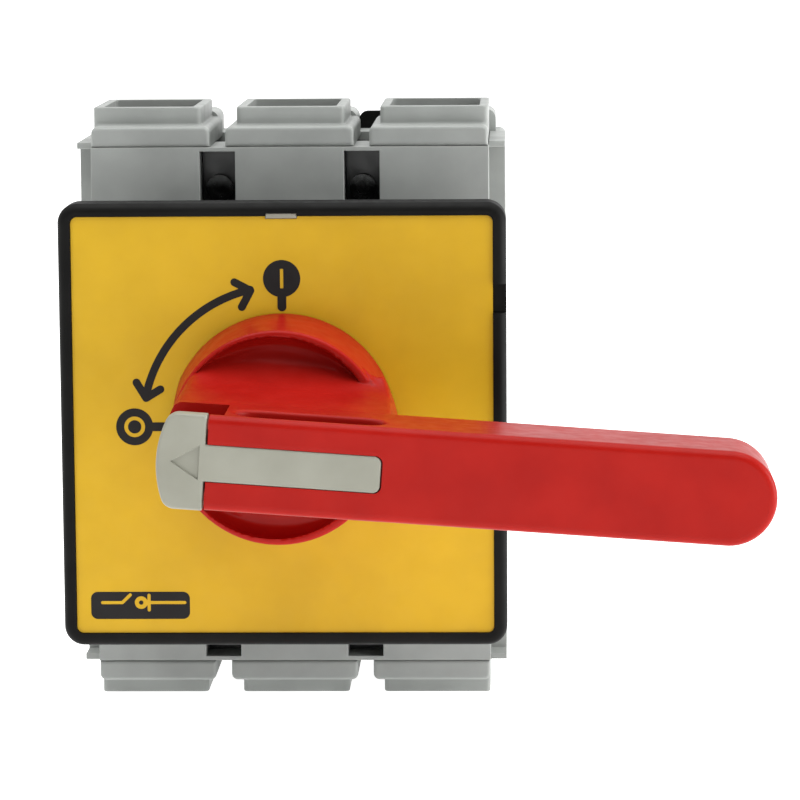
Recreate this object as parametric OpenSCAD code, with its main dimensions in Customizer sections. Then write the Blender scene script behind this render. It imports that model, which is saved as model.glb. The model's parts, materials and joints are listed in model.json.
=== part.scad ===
// Rotary isolator switch, three pole, for mounting through a cabinet door.
// The frame's origin is on the handle's axis, in the plane of the door's front face.
// Every sub-part is drawn facing the viewer: x to the right, y up, z out of the door.
// mounted() then turns it into the part's own frame, where +Z is up and the door faces -Y.

/* [Front plate] */
// Width and height of the square front plate
plate_w = 90; // [90:0.5:92]
// Thickness of the front plate
plate_t = 8; // [7.5:0.1:9]
// Radius of the front plate's corners
plate_r = 4; // [3.8:0.1:5]
// Width of the black border round the legend plate
border_w = 2.7; // [2.4:0.1:3]
// Spacing of the four plate screws, both ways
screw_spacing = 68; // [67:0.5:69]
// Thickness of the door that the plate and the adaptor clamp
door_t = 5; // [4.8:0.1:5.2]

/* [Handle] */
// Distance from the axis to the tip of the lever
lever_reach = 96; // [90:0.5:100]
// Width of the lever
lever_w = 18; // [17.6:0.1:18.4]
// Thickness of the lever, front to back
lever_t = 19.5; // [19:0.1:20]
// Height of the lever's front face over the plate's front face
handle_h = 56; // [55.5:0.1:56.5]
// Radius of the handle's round cup where it meets the plate
cup_r = 22.8; // [22.6:0.1:23]
// Height of the cup's rim over the plate's front face
cup_h = 17.5; // [17:0.1:18]
// How far the lever has drooped past level in the off position, in degrees
rest_tilt = 4.15; // [0:0.05:5]

/* [Body] */
// Distance between the middles of two neighbouring poles
pole_pitch = 30; // [29.8:0.1:30.2]
// Width of one pole's front face
pole_w = 22.6; // [22.2:0.1:22.8]
// Height of the body without its terminal shrouds
body_h = 108.4; // [108:0.1:109]
// Height of the body over its terminal shrouds
shroud_h = 124.4; // [124:0.1:125]
// Width of the body over its side walls
body_w = 89.4; // [89:0.1:89.8]
// Distance from the door's front face back to the body's front face
body_front = 23; // [23:0.1:23.5]
// Distance from the door's front face to the back of the rear base
body_back = 75; // [74.5:0.1:76]

/* [Contacts] */
// Side of the square drive shaft
shaft_w = 6; // [5.8:0.1:6]
// Pitch radius of the drive pinion
pinion_r = 6; // [6:0.01:6]
// Number of teeth on the drive pinion
pinion_teeth = 8; // [8:1:8]

/* [Hidden] */
$fn = 64;

grey = "#9a9d9a";
black = "#1e1e1c";
red = "#b4271f";
yellow = "#c8a22a";
slide_grey = "#a9aa9e";
steel = "#9a9a98";
brass = "#b59a4a";
copper = "#b87346";
rubber = "#26262a";

eps = 0.01;
left_x = -pole_pitch;
middle_x = 0;
right_x = pole_pitch;
poles = [left_x, middle_x, right_x];

// Front plate: levels along z, with the door's front face at 0
legend_t = 1.2;
legend_front = plate_t - 0.5;
legend_floor = legend_front - legend_t;
legend_w = plate_w - 2 * border_w;
legend_gap = 0.1;
legend_r = 1.3;
plate_edge_r = 1.8;
plate_back_cut = 4;
plate_back_w = 76;
boss_r = 20;
screw_at = screw_spacing / 2;
screw_boss_r = 6;
screw_r = 1.95;
screw_hole_r = 2.25;
screw_head_r = 3.5;
screw_head_h = 2.4;
screw_sink_r = 3.8;
gasket_in = 79;
gasket_out = 85;
gasket_t = 1.5;
pry_slot_y = [22.7, 28.5];
catch_w = 6.2;

// Handle: levels along z
cup_base = legend_front + 0.3;
cup_top = plate_t + cup_h;
cup_floor = cup_top - 3.5;
cup_top_r = cup_r - 1.5;
cup_wall = 3;
cup_bowl_r = 3;
rim_round = 2;
lever_front = plate_t + handle_h;
lever_back = lever_front - lever_t;
lever_edge_r = 1.8;
hub_r = 12;
hub_clear = 0.06;
hub_end = -3;
root_left_r = 20.9;
root_right_r = 23.9;
root_low = cup_top + 2;
flank_w = 10.8;
flank_h = 22;
flank_steps = 18;
clip_groove_z = [-1.3, -0.1];
clip_groove_r = 11;
socket_top = 14;

// Padlock slide: levels along z and reach along the lever
slide_head_t = 3.6;
slide_tongue_t = 1.6;
slide_tongue_w = 6.9;
slide_head_u = -11.3;
slide_end_u = 21.6;
slide_corner_r = 1.5;
slide_blade_u = [-18.6, -10];
slide_blade_z = [lever_front - 11, lever_front - slide_head_t];
slide_blade_w = 6;
slide_gap = 0.1;
slot_u = [-2.4, 17.3];
slot_z = lever_front - 6.9;
slot_r = 4.4;
notch_u = -8.4;
notch_v = 6;
notch_z = lever_back + 3;

// Drive
adaptor_front = -door_t;
adaptor_plate = [-body_front, -19];
neck_r = 25;
neck_bore_r = 14;
bush_r = 8;
bush_bore_r = 5;
collar_clear = 0.05;
shaft_z = [-31, 12];
pinion_z = [-31, -25.6];
insert_r = 2.9;
insert_h = 9;
post_r = 4.5;

// Pinion and rack teeth
tooth_pitch = 2 * PI * pinion_r / pinion_teeth;
tooth_up = 1.0;
tooth_down = 1.3;
tooth_half = 0.2 * tooth_pitch;
tooth_lean = tan(20);

// Contact system, along z: carriage bar, bridge holders, bridges, fixed contacts
bar_z = [-31.4, -26];
holder_z = [-36.5, -31.4];
bridge_z = [-42.95, -40.5];
contact_z = [-46, -43];
bridge_w = 6;
bridge_h = 28;
bridge_off = -6.2;
blade_x = [1.8, 8];
blade_y = [8, 21.5];
contact_w = 12;
contact_y = [20, 45.5];
clamp_y = [34, 45.5];
clamp_z = [-59, -40];
clamp_w = 16;
clamp_wall = 1.8;
clamp_screw_y = 39.5;
clamp_screw_r = 4;
clamp_screw_z = [-42.9, -31];

// Body, along z
cover_back = -41;
housing_back = -60;
rib_in_w = 19.6;
rib_in_h = 104.6;
rib_skin = 2;
bridge_cover_h = 14;
carriage_way = [-12, 12];
half_body_h = body_h / 2;
half_wing_h = half_body_h + 0.7;
wing_in = 41.3;
wing_front = -28;
wing_recess = -34;
ledge_t = 1.3;
shelf_t = 0.9;
gap_floor = -31;
band_top = half_body_h + 3.7;
band_gap = 0.1;
band_middle_w = 26.7;
band_outer_in = 16.6;
band_outer_out = 41.2;
hood_w = 22;
hood_front = -29;
hood_wall = 1.6;
hump_w = 25.2;
hump_top = 59.6;
body_screw_x = 15;
body_screw_y = 45.2;
body_screw_r = 1.7;
body_screw_head_r = 2.8;

// Rail groove and clip
rail_w = 35.8;
rail_deep = 6;
rail_lip = 1;
rail_lip_t = 1.5;
clip_x = 17;
clip_w = 9;
clip_neck_w = 6;
clip_t = 1.5;
clip_neck_t = 1;
clip_low = rail_w / 2 - rail_lip;
clip_top = 58.7;
clip_head_r = 2;
clip_pocket_y = [33, 40.6];
clip_slot_w = 2.1;
clip_window_y = [34.5, 42];
clip_post_t = 1.2;
clip_spring_r = 1.5;
clip_gap = 0.12;

// ---- shared shapes ----

module mounted() {
    rotate([90, 0, 0]) children();
}

module turned() {
    rotate([0, 0, -rest_tilt]) children();
}

module block(x, y, z) {
    translate([x[0], y[0], z[0]]) cube([x[1] - x[0], y[1] - y[0], z[1] - z[0]]);
}

module round_rect(w, h, r) {
    square([w - 2 * r, h], center = true);
    square([w, h - 2 * r], center = true);
    for (sx = [-1, 1], sy = [-1, 1])
        translate([sx * (w / 2 - r), sy * (h / 2 - r)]) circle(r);
}

module slab(w, h, r, z) {
    translate([0, 0, z[0]]) linear_extrude(z[1] - z[0]) round_rect(w, h, r);
}

// Slab whose front edge is rolled over with radius e
module soft_slab(w, h, r, z, e) {
    slab(w, h, r, [z[0], z[1] - e]);
    slab(w - 2 * e, h - 2 * e, r - e, z);
    for (sx = [-1, 1], sy = [-1, 1])
        translate([sx * (w / 2 - r), sy * (h / 2 - r), z[1] - e])
            rotate_extrude() translate([r - e, 0]) circle(e);
    for (s = [-1, 1]) {
        translate([0, s * (h / 2 - e), z[1] - e])
            rotate([0, 90, 0]) cylinder(r = e, h = w - 2 * r, center = true);
        translate([s * (w / 2 - e), 0, z[1] - e])
            rotate([90, 0, 0]) cylinder(r = e, h = h - 2 * r, center = true);
    }
}

module rod(r, z) {
    translate([0, 0, z[0]]) cylinder(r = r, h = z[1] - z[0]);
}

module at_corners(d) {
    for (sx = [-1, 1], sy = [-1, 1]) translate([sx * d[0], sy * d[1], 0]) children();
}

// Coil spring along z: mean radius r, wire radius w, free length h
module coil(r, w, h, turns) {
    sides = 6;
    steps = 12 * turns;
    rise = h - 2 * w;
    points = [for (i = [0 : steps], j = [0 : sides - 1])
        let (a = 360 * turns * i / steps, b = 360 * j / sides, q = r + w * cos(b))
            [q * cos(a), q * sin(a), w + rise * i / steps + w * sin(b)]];
    walls = [for (i = [0 : steps - 1], j = [0 : sides - 1])
        let (a = i * sides + j, b = i * sides + (j + 1) % sides)
            [a, a + sides, b + sides, b]];
    ends = [[for (j = [0 : sides - 1]) j], [for (j = [sides - 1 : -1 : 0]) steps * sides + j]];
    polyhedron(points, concat(walls, ends));
}

// ---- front plate and what is on it ----

module front_plate() {
    color(black) mounted() difference() {
        soft_slab(plate_w, plate_w, plate_r, [0, plate_t], plate_edge_r);
        slab(legend_w + 2 * legend_gap, legend_w + 2 * legend_gap, legend_r + legend_gap,
            [legend_floor, plate_t + 1]);
        difference() {
            slab(plate_back_w, plate_back_w, 2, [-1, plate_back_cut]);
            rod(boss_r, [-2, plate_back_cut + 1]);
            at_corners([screw_at, screw_at]) rod(screw_boss_r, [-2, plate_back_cut + 1]);
        }
        difference() {
            slab(gasket_out, gasket_out, 3, [-1, gasket_t]);
            slab(gasket_in, gasket_in, 2, [-2, gasket_t + 1]);
        }
        at_corners([screw_at, screw_at]) {
            rod(screw_hole_r, [-1, plate_t]);
            rod(screw_sink_r, [legend_floor - screw_head_h - 0.2, plate_t]);
        }
        rod(hub_r + hub_clear, [-1, plate_t]);
        rod(hub_r + 1.4, [2.5, 4.5]);
        block([legend_w / 2 - 1, plate_w / 2 + 1], pry_slot_y, [plate_t - 1.6, plate_t + 1]);
        block([-catch_w / 2 - 0.1, catch_w / 2 + 0.1], [legend_w / 2 - 1, legend_w / 2 + 0.7],
            [legend_floor, plate_t + 1]);
    }
}

module legend_plate() {
    color(yellow) mounted() difference() {
        slab(legend_w, legend_w, legend_r, [legend_floor, legend_front]);
        rod(hub_r + 0.5, [legend_floor - 1, legend_front + 1]);
        block([-catch_w / 2 - 0.1, catch_w / 2 + 0.1], [legend_w / 2 - 0.5, legend_w / 2 + 1],
            [legend_floor - 1, legend_front + 1]);
    }
}

module legend_catch() {
    color(slide_grey) mounted()
        block([-catch_w / 2, catch_w / 2], [legend_w / 2 - 0.4, legend_w / 2 + 0.6],
            [legend_floor, plate_t - 0.2]);
}

module door_gasket() {
    color(rubber) mounted() difference() {
        slab(gasket_out, gasket_out, 3, [0, gasket_t]);
        slab(gasket_in, gasket_in, 2, [-1, gasket_t + 1]);
    }
}

module hub_seal() {
    seal_wire = 0.65;
    color(rubber) mounted() translate([0, 0, 3.5])
        rotate_extrude() translate([hub_r + hub_clear + seal_wire, 0]) circle(seal_wire, $fn = 24);
}

module plate_screws() {
    head_z = [legend_floor - screw_head_h - 0.1, legend_floor - 0.1];
    color(steel) mounted() at_corners([screw_at, screw_at]) difference() {
        union() {
            rod(screw_r, [-13, head_z[1] - 0.5]);
            rod(screw_head_r, head_z);
        }
        for (a = [0, 90])
            rotate([0, 0, a]) block([-2, 2], [-0.4, 0.4], [head_z[1] - 1.4, head_z[1] + 1]);
    }
}

// ---- handle ----

// Section across the lever's root: a wall that flares into the cup in two hollow sweeps,
// each a quarter of an ellipse flank_w wide and flank_h high
module root_section() {
    top_v = lever_w / 2;
    e = lever_edge_r;
    flank = [for (i = [0 : flank_steps])
        let (a = 90 * i / flank_steps)
            [top_v + flank_w * (1 - cos(a)), lever_back - flank_h * sin(a)]];
    low = [[top_v + flank_w, cup_base + 1]];
    side = concat([[top_v, lever_front - e]], flank, low);
    mirrored = [for (i = [len(side) - 1 : -1 : 0]) [-side[i][0], side[i][1]]];
    polygon(concat(side, mirrored));
    translate([0, lever_front - e / 2 - 1]) square([lever_w - 2 * e, e + 2], center = true);
    for (s = [-1, 1]) translate([s * (top_v - e), lever_front - e]) circle(e);
}

// The wall swept along the lever and cut to the round plan of the cup
module lever_root() {
    intersection() {
        rotate([90, 0, 90]) translate([0, 0, -30]) linear_extrude(60) root_section();
        union() {
            rod(cup_top_r - 1, [cup_floor - 2, cup_top - rim_round]);
            rod(root_left_r, [cup_top - rim_round - eps, lever_front + 1]);
            intersection() {
                rod(root_right_r, [root_low, lever_front + 1]);
                block([0, 30], [-30, 30], [root_low, lever_front + 1]);
            }
        }
    }
}

module lever_bar() {
    tip_r = lever_w / 2;
    tip_u = lever_reach - tip_r;
    e = lever_edge_r;
    difference() {
        union() {
            block([0, tip_u], [-tip_r, tip_r], [lever_back, lever_front - e]);
            translate([tip_u, 0, 0]) rod(tip_r, [lever_back, lever_front - e]);
            block([0, tip_u], [e - tip_r, tip_r - e], [lever_back, lever_front]);
            translate([tip_u, 0, 0]) rod(tip_r - e, [lever_back, lever_front]);
            for (s = [-1, 1]) translate([0, s * (tip_r - e), lever_front - e])
                rotate([0, 90, 0]) cylinder(r = e, h = tip_u);
            translate([tip_u, 0, lever_front - e])
                rotate_extrude() translate([tip_r - e, 0]) circle(e);
        }
        wall = 2.8;
        rib_t = 1.6;
        bays = 4;
        hollow = [root_right_r + 3, tip_u];
        bay = (hollow[1] - hollow[0] + rib_t) / bays;
        for (i = [0 : bays - 1])
            block([hollow[0] + i * bay, hollow[0] + (i + 1) * bay - rib_t],
                [wall - tip_r, tip_r - wall], [lever_back - 1, lever_front - wall]);
        translate([tip_u + rib_t, 0, 0]) intersection() {
            rod(tip_r - wall, [lever_back - 1, lever_front - wall]);
            block([0, tip_r], [-tip_r, tip_r], [lever_back - 1, lever_front]);
        }
    }
}

module cup() {
    difference() {
        union() {
            translate([0, 0, cup_base])
                cylinder(r1 = cup_r, r2 = cup_top_r, h = cup_top - rim_round - cup_base);
            rod(cup_top_r - rim_round, [cup_base, cup_top]);
            translate([0, 0, cup_top - rim_round])
                rotate_extrude() translate([cup_top_r - rim_round, 0]) circle(rim_round);
        }
        bowl_r = cup_top_r - cup_wall;
        rod(bowl_r - cup_bowl_r, [cup_floor, cup_top + 1]);
        rod(bowl_r, [cup_floor + cup_bowl_r, cup_top + 1]);
        translate([0, 0, cup_floor + cup_bowl_r])
            rotate_extrude() translate([bowl_r - cup_bowl_r, 0]) circle(cup_bowl_r);
    }
}

module handle() {
    recess_end = slide_end_u + 0.3;
    recess_half = slide_tongue_w / 2 + slide_gap;
    hollow_r = [13.8, 19.4];
    hollow_top = cup_floor - 3.4;
    ribs = 6;
    rib_t = 1.6;
    color(red) mounted() turned() difference() {
        union() {
            cup();
            lever_root();
            lever_bar();
            rod(hub_r, [hub_end, cup_base + 1]);
        }
        // Seat of the padlock slide: head, tongue and blade
        block([-30, slide_head_u + 0.1], [-12, 12], [lever_front - slide_head_t, lever_front + 1]);
        block([-13, recess_end - slide_corner_r], [-recess_half, recess_half],
            [lever_front - slide_tongue_t - 0.05, lever_front + 1]);
        block([0, recess_end], [slide_corner_r - recess_half, recess_half - slide_corner_r],
            [lever_front - slide_tongue_t - 0.05, lever_front + 1]);
        for (s = [-1, 1])
            translate([recess_end - slide_corner_r, s * (recess_half - slide_corner_r), 0])
                rod(slide_corner_r, [lever_front - slide_tongue_t - 0.05, lever_front + 1]);
        block([-30, slide_blade_u[1] + 0.2],
            [-slide_blade_w / 2 - slide_gap, slide_blade_w / 2 + slide_gap],
            [slide_blade_z[0] - 0.2, lever_front - slide_head_t + 1]);
        // Finger notches behind the slide's head
        for (s = [-1, 1])
            block([-30, notch_u], s > 0 ? [notch_v, 14] : [-14, -notch_v],
                [notch_z, lever_front - slide_head_t + eps]);
        // Padlock slot, right through the lever
        for (u = slot_u) translate([u, 0, slot_z]) rotate([90, 0, 0])
            cylinder(r = slot_r, h = 40, center = true);
        block(slot_u, [-20, 20], [slot_z - slot_r, slot_z + slot_r]);
        // Hollow underside of the cup, with ribs
        difference() {
            rod(hollow_r[1], [cup_base - 1, hollow_top]);
            rod(hollow_r[0], [cup_base - 2, hollow_top + 1]);
            for (i = [0 : ribs - 1]) rotate([0, 0, i * 360 / ribs])
                block([0, 30], [-rib_t / 2, rib_t / 2], [cup_base - 2, hollow_top + 1]);
        }
        // Square socket for the shaft, and the circlip's groove
        block([-shaft_w / 2 - 0.1, shaft_w / 2 + 0.1], [-shaft_w / 2 - 0.1, shaft_w / 2 + 0.1],
            [hub_end - 1, socket_top]);
        difference() {
            rod(hub_r + 1, clip_groove_z);
            rod(clip_groove_r, [clip_groove_z[0] - 1, clip_groove_z[1] + 1]);
        }
    }
}

module padlock_slide() {
    tongue_half = slide_tongue_w / 2;
    tongue_z = [lever_front - slide_tongue_t, lever_front];
    head_half = lever_w / 2 - 0.05;
    mark_d = 0.4;
    color(slide_grey) mounted() turned() difference() {
        union() {
            intersection() {
                rod(root_left_r, [lever_front - slide_head_t + 0.05, lever_front]);
                block([-30, slide_head_u], [-head_half, head_half], [0, lever_front]);
            }
            block([slide_head_u - 1, slide_end_u - slide_corner_r], [-tongue_half, tongue_half],
                tongue_z);
            block([0, slide_end_u], [slide_corner_r - tongue_half, tongue_half - slide_corner_r],
                tongue_z);
            for (s = [-1, 1])
                translate([slide_end_u - slide_corner_r, s * (tongue_half - slide_corner_r), 0])
                    rod(slide_corner_r, tongue_z);
            block(slide_blade_u, [-slide_blade_w / 2, slide_blade_w / 2],
                [slide_blade_z[0], lever_front - slide_head_t + 1]);
        }
        translate([0, 0, lever_front - mark_d]) linear_extrude(1)
            polygon([[-18, 0], [-13, 3], [-13, -3]]);
    }
}

module handle_circlip() {
    color(steel) mounted() turned() difference() {
        rod(hub_r + 1.2, [clip_groove_z[0] + 0.1, clip_groove_z[1] - 0.1]);
        rod(clip_groove_r + 0.05, [-5, 5]);
        block([-2, 2], [0, 20], [-5, 5]);
    }
}

// ---- drive ----

module drive_shaft() {
    collar_z = [adaptor_plate[0] + 0.2, adaptor_plate[1] - 0.2];
    color(steel) mounted() turned() {
        block([-shaft_w / 2, shaft_w / 2], [-shaft_w / 2, shaft_w / 2], shaft_z);
        rod(bush_bore_r - collar_clear, collar_z);
    }
}

module pinion_section() {
    root_r = pinion_r - tooth_down;
    tip_r = pinion_r + tooth_up;
    root_half = tooth_half + 0.25;
    tip_half = tooth_half - tooth_up * tooth_lean;
    tooth = [
        [-root_half, root_r], [-tooth_half, pinion_r], [-tip_half, tip_r],
        [tip_half, tip_r], [tooth_half, pinion_r], [root_half, root_r]
    ];
    polygon([for (i = [0 : pinion_teeth - 1], p = tooth)
        let (a = -i * 360 / pinion_teeth)
            [p[0] * cos(a) - p[1] * sin(a), p[0] * sin(a) + p[1] * cos(a)]]);
}

module drive_pinion() {
    square_r = shaft_w / 2 + 0.03;
    color("#d8d5c8") mounted() difference() {
        translate([0, 0, pinion_z[0]])
            linear_extrude(pinion_z[1] - pinion_z[0]) pinion_section();
        turned() block([-square_r, square_r], [-square_r, square_r], [-40, 0]);
    }
}

module drive_adaptor() {
    color(black) mounted() difference() {
        union() {
            slab(82, 62, 5, adaptor_plate);
            rod(neck_r, [adaptor_plate[0], -0.5]);
            at_corners([screw_at, screw_at]) rod(post_r, [adaptor_plate[0], adaptor_front]);
        }
        rod(neck_bore_r, [adaptor_plate[1], 1]);
        rod(bush_r, [adaptor_plate[0] - 1, adaptor_plate[1] + 1]);
        at_corners([screw_at, screw_at]) {
            rod(insert_r, [adaptor_front - insert_h, adaptor_front + 1]);
            rod(screw_hole_r, [adaptor_plate[0] - 1, adaptor_front]);
        }
    }
}

module screw_inserts() {
    color(brass) mounted() at_corners([screw_at, screw_at]) difference() {
        rod(insert_r, [adaptor_front - insert_h, adaptor_front]);
        rod(screw_r + 0.05, [adaptor_front - insert_h - 1, adaptor_front + 1]);
    }
}

module shaft_bush() {
    color("#e6e2d4") mounted() difference() {
        rod(bush_r, adaptor_plate);
        rod(bush_bore_r, [adaptor_plate[0] - 1, adaptor_plate[1] + 1]);
    }
}

// ---- contacts ----

module rack_tooth_gap(x) {
    gap_root = tooth_pitch / 2 - tooth_half + 0.2;
    translate([x, 0, 0]) polygon([
        [-gap_root - tooth_lean, pinion_r - tooth_up - 1],
        [-gap_root, pinion_r],
        [-gap_root + tooth_lean * tooth_down, pinion_r + tooth_down],
        [gap_root - tooth_lean * tooth_down, pinion_r + tooth_down],
        [gap_root, pinion_r],
        [gap_root + tooth_lean, pinion_r - tooth_up - 1]
    ]);
}

module contact_carriage() {
    window_x = [-17.5, 8.5];
    window_y = [-8, pinion_r - tooth_up];
    color("#3c4a3a") mounted() difference() {
        union() {
            block([-38, 30], [-6, 6], bar_z);
            block([-20.5, 11], [-11, 11.5], bar_z);
            for (x = poles)
                block([x + bridge_off - 2.8, x + bridge_off + 2.8], [-11, 11], holder_z);
        }
        block(window_x, window_y, [bar_z[0] - eps, 0]);
        translate([0, 0, bar_z[0] - eps]) linear_extrude(10) for (i = [-3 : 2])
            rack_tooth_gap(i * tooth_pitch);
        for (x = poles) translate([x + bridge_off, 0, 0]) rod(2.2, [-40, holder_z[1] - 1.5]);
    }
}

module contact_springs() {
    seat = holder_z[1] - 1.5;
    color(steel) mounted() for (x = poles)
        translate([x + bridge_off, 0, bridge_z[1]]) coil(1.6, 0.35, seat - bridge_z[1], 5);
}

module contact_bridge(x) {
    tip_h = 5;
    color(copper) mounted() {
        block([x + bridge_off - bridge_w / 2, x + bridge_off + bridge_w / 2],
            [-bridge_h / 2, bridge_h / 2], [bridge_z[0] + 0.6, bridge_z[1]]);
        for (s = [-1, 1]) translate([x + bridge_off, s * (bridge_h / 2 - tip_h / 2 - 0.3), 0])
            block([-bridge_w / 2 + 0.3, bridge_w / 2 - 0.3], [-tip_h / 2, tip_h / 2],
                [bridge_z[0], bridge_z[0] + 0.7]);
    }
}

// Fixed contact: a bar to the clamp and a narrower blade to the bridge. side is 1 for the top
module fixed_contact(x, side) {
    color(copper) mounted() mirror([0, side < 0 ? 1 : 0, 0]) {
        block([x - contact_w / 2, x + contact_w / 2], contact_y, contact_z);
        block([x + blade_x[0], x + blade_x[1]], blade_y, contact_z);
    }
}

// Cage clamp round the end of a fixed contact
module cage_clamp(x, side) {
    color(steel) mounted() mirror([0, side < 0 ? 1 : 0, 0]) difference() {
        block([x - clamp_w / 2, x + clamp_w / 2], clamp_y, clamp_z);
        block([x - clamp_w / 2 + clamp_wall, x + clamp_w / 2 - clamp_wall],
            [clamp_y[0] - 1, clamp_y[1] + 1],
            [clamp_z[0] + clamp_wall, clamp_z[1] - clamp_wall]);
        translate([x, clamp_screw_y, 0]) rod(clamp_screw_r + 0.05, [clamp_screw_z[0], 0]);
    }
}

module terminal_screws() {
    hex_r = 2.9;
    hex_deep = 4;
    color(steel) mounted() for (x = poles, side = [-1, 1])
        translate([x, side * clamp_screw_y, 0]) difference() {
            rod(clamp_screw_r, clamp_screw_z);
            translate([0, 0, clamp_screw_z[1] - hex_deep]) cylinder(r = hex_r, h = 10, $fn = 6);
        }
}

// ---- body ----

module front_cover() {
    rib_top = half_body_h - band_gap / 2;
    color(grey) mounted() difference() {
        union() {
            for (x = poles)
                block([x - pole_w / 2, x + pole_w / 2], [-rib_top, rib_top],
                    [cover_back, -body_front]);
            // Thin shelves that join the poles at the top and the bottom
            for (s = [-1, 1]) translate([0, s * (rib_top - shelf_t / 2), 0])
                block([-wing_in, wing_in], [-shelf_t / 2, shelf_t / 2], [cover_back, -body_front]);
            // Bridge over the contact carriage, from pole to pole
            block([-wing_in, wing_in], [-bridge_cover_h, bridge_cover_h],
                [cover_back, -body_front]);
            // Side walls, with a ledge at each end
            for (s = [-1, 1], wall = [
                [half_wing_h, wing_recess],
                [half_wing_h, wing_front]
            ]) {
                x = s > 0 ? [wing_in, body_w / 2] : [-body_w / 2, -wing_in];
                if (wall[1] == wing_recess)
                    block(x, [-wall[0], wall[0]], [cover_back, wall[1]]);
                else
                    for (t = [-1, 1]) translate([0, t * (half_wing_h - ledge_t / 2), 0])
                        block(x, [-ledge_t / 2, ledge_t / 2], [cover_back, wall[1]]);
            }
        }
        for (x = poles)
            block([x - rib_in_w / 2, x + rib_in_w / 2], [-rib_in_h / 2, rib_in_h / 2],
                [cover_back - 1, -body_front - rib_skin]);
        // Way for the contact carriage from pole to pole, and for the shaft
        block([-pole_pitch, pole_pitch], carriage_way, [cover_back - 1, -body_front - rib_skin]);
        rod(bush_r + 0.5, [-30, 0]);
        // Screwdriver holes to the terminal screws
        for (x = poles, side = [-1, 1]) translate([x, side * clamp_screw_y, 0])
            rod(3.2, [-30, 0]);
    }
}

module contact_housing() {
    ridge_x = [pole_w / 2 + 0.1, pole_pitch - pole_w / 2 - 0.1];
    high = half_body_h - 1;
    chamber_half = 22;
    color(black) mounted() difference() {
        union() {
            block([-wing_in, wing_in], [-high, high], [housing_back, cover_back]);
            for (s = [-1, 1]) {
                x = s > 0 ? ridge_x : [-ridge_x[1], -ridge_x[0]];
                block(x, [-high, high], [cover_back - 1, gap_floor]);
            }
        }
        for (x = poles) {
            block([x - rib_in_w / 2, x + rib_in_w / 2], [-chamber_half, chamber_half],
                [contact_z[0] - 4, 0]);
            block([x - contact_w / 2 - 0.2, x + contact_w / 2 + 0.2], [-48, 48],
                [contact_z[0], 0]);
            for (s = [-1, 1])
                block([x - rib_in_w / 2, x + rib_in_w / 2],
                    s > 0 ? [clamp_y[0] - 0.5, high + 1] : [-high - 1, 0.5 - clamp_y[0]],
                    [housing_back - 1, 0]);
        }
        block([-pole_pitch, pole_pitch], carriage_way, [cover_back - 1, 0]);
        // The ridges leave room for the cover's bridge
        block([-pole_pitch, pole_pitch], [-bridge_cover_h - 0.1, bridge_cover_h + 0.1],
            [cover_back, 0]);
        for (sx = [-1, 1], sy = [-1, 1]) translate([sx * body_screw_x, sy * body_screw_y, 0])
            rod(body_screw_r + 0.15, [housing_back - 1, 0]);
    }
}

module body_screws() {
    color(black) mounted() at_corners([body_screw_x, body_screw_y]) difference() {
        union() {
            rod(body_screw_r, [housing_back - 8, gap_floor + 1]);
            rod(body_screw_head_r, [gap_floor, gap_floor + 2.4]);
        }
        translate([0, 0, gap_floor + 1.2]) cylinder(r = 1.5, h = 3, $fn = 6);
    }
}

module rear_base() {
    groove_half = rail_w / 2;
    back = -body_back;
    slot_wide = clip_w / 2 + clip_gap;
    slot_neck = clip_neck_w / 2 + clip_gap;
    clip_stack = clip_neck_t + clip_t;
    color("#b4b7b4") mounted() difference() {
        union() {
            slab(body_w, 2 * half_wing_h, 1.5, [back, housing_back]);
            for (x = poles) translate([x, 0, 0])
                slab(hump_w, 2 * hump_top, 2, [back, housing_back]);
            for (s = [-1, 1])
                block(s > 0 ? [wing_in + 0.05, body_w / 2] : [-body_w / 2, -wing_in - 0.05],
                    [-half_wing_h, half_wing_h], [housing_back - 1, cover_back]);
        }
        // Groove for the mounting rail, with a fixed lip along its lower edge
        block([-50, 50], [-groove_half, groove_half], [back + rail_lip_t, back + rail_deep]);
        block([-50, 50], [rail_lip - groove_half, groove_half], [back - 1, back + rail_lip_t + eps]);
        // Stepped channel for the rail clip
        block([clip_x - slot_wide, clip_x + slot_wide], [groove_half - 1, 70],
            [back + clip_neck_t - clip_gap, back + clip_stack + clip_gap]);
        block([clip_x - slot_neck, clip_x + slot_neck], [groove_half - 1, 70],
            [back - 1, back + clip_neck_t]);
        block([clip_x - clip_slot_w, clip_x + clip_slot_w], [clip_pocket_y[0], clip_pocket_y[1]],
            [back + clip_neck_t, back + clip_stack + 2.2]);
        // Tapped holes for the body screws, and blind holes for fixing to a back plate
        at_corners([body_screw_x, body_screw_y])
            rod(body_screw_r + 0.05, [housing_back - 8.5, housing_back + 1]);
        at_corners([36, 46]) rod(2.1, [back - 1, back + 9]);
    }
    // Post in the clip's window that the clip's spring pushes against
    color("#b4b7b4") mounted() block([clip_x - clip_slot_w + 0.4, clip_x + clip_slot_w - 0.4],
        [clip_pocket_y[1], clip_pocket_y[1] + clip_post_t],
        [back + clip_neck_t + 0.4, back + clip_stack + 1]);
}

// Cover over one pole's terminal. side is 1 for the top, x_band the front band's span
module terminal_shroud(x, x_band, side) {
    low = half_body_h + band_gap / 2;
    high = shroud_h / 2;
    color(grey) mounted() mirror([0, side < 0 ? 1 : 0, 0]) difference() {
        union() {
            block(x_band, [low, band_top], [housing_back + 0.1, -body_front]);
            block([x - hood_w / 2, x + hood_w / 2], [low, high], [housing_back + 0.1, hood_front]);
        }
        block([x - hood_w / 2 + hood_wall, x + hood_w / 2 - hood_wall], [low - 1, high + 1],
            [housing_back + hood_wall, hood_front - hood_wall]);
        block([x - hood_w / 2 + hood_wall, x + hood_w / 2 - hood_wall], [low - 1, band_top - hood_wall],
            [hood_front - hood_wall - 1, -body_front - hood_wall]);
    }
}

// ---- rail clip ----

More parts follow.
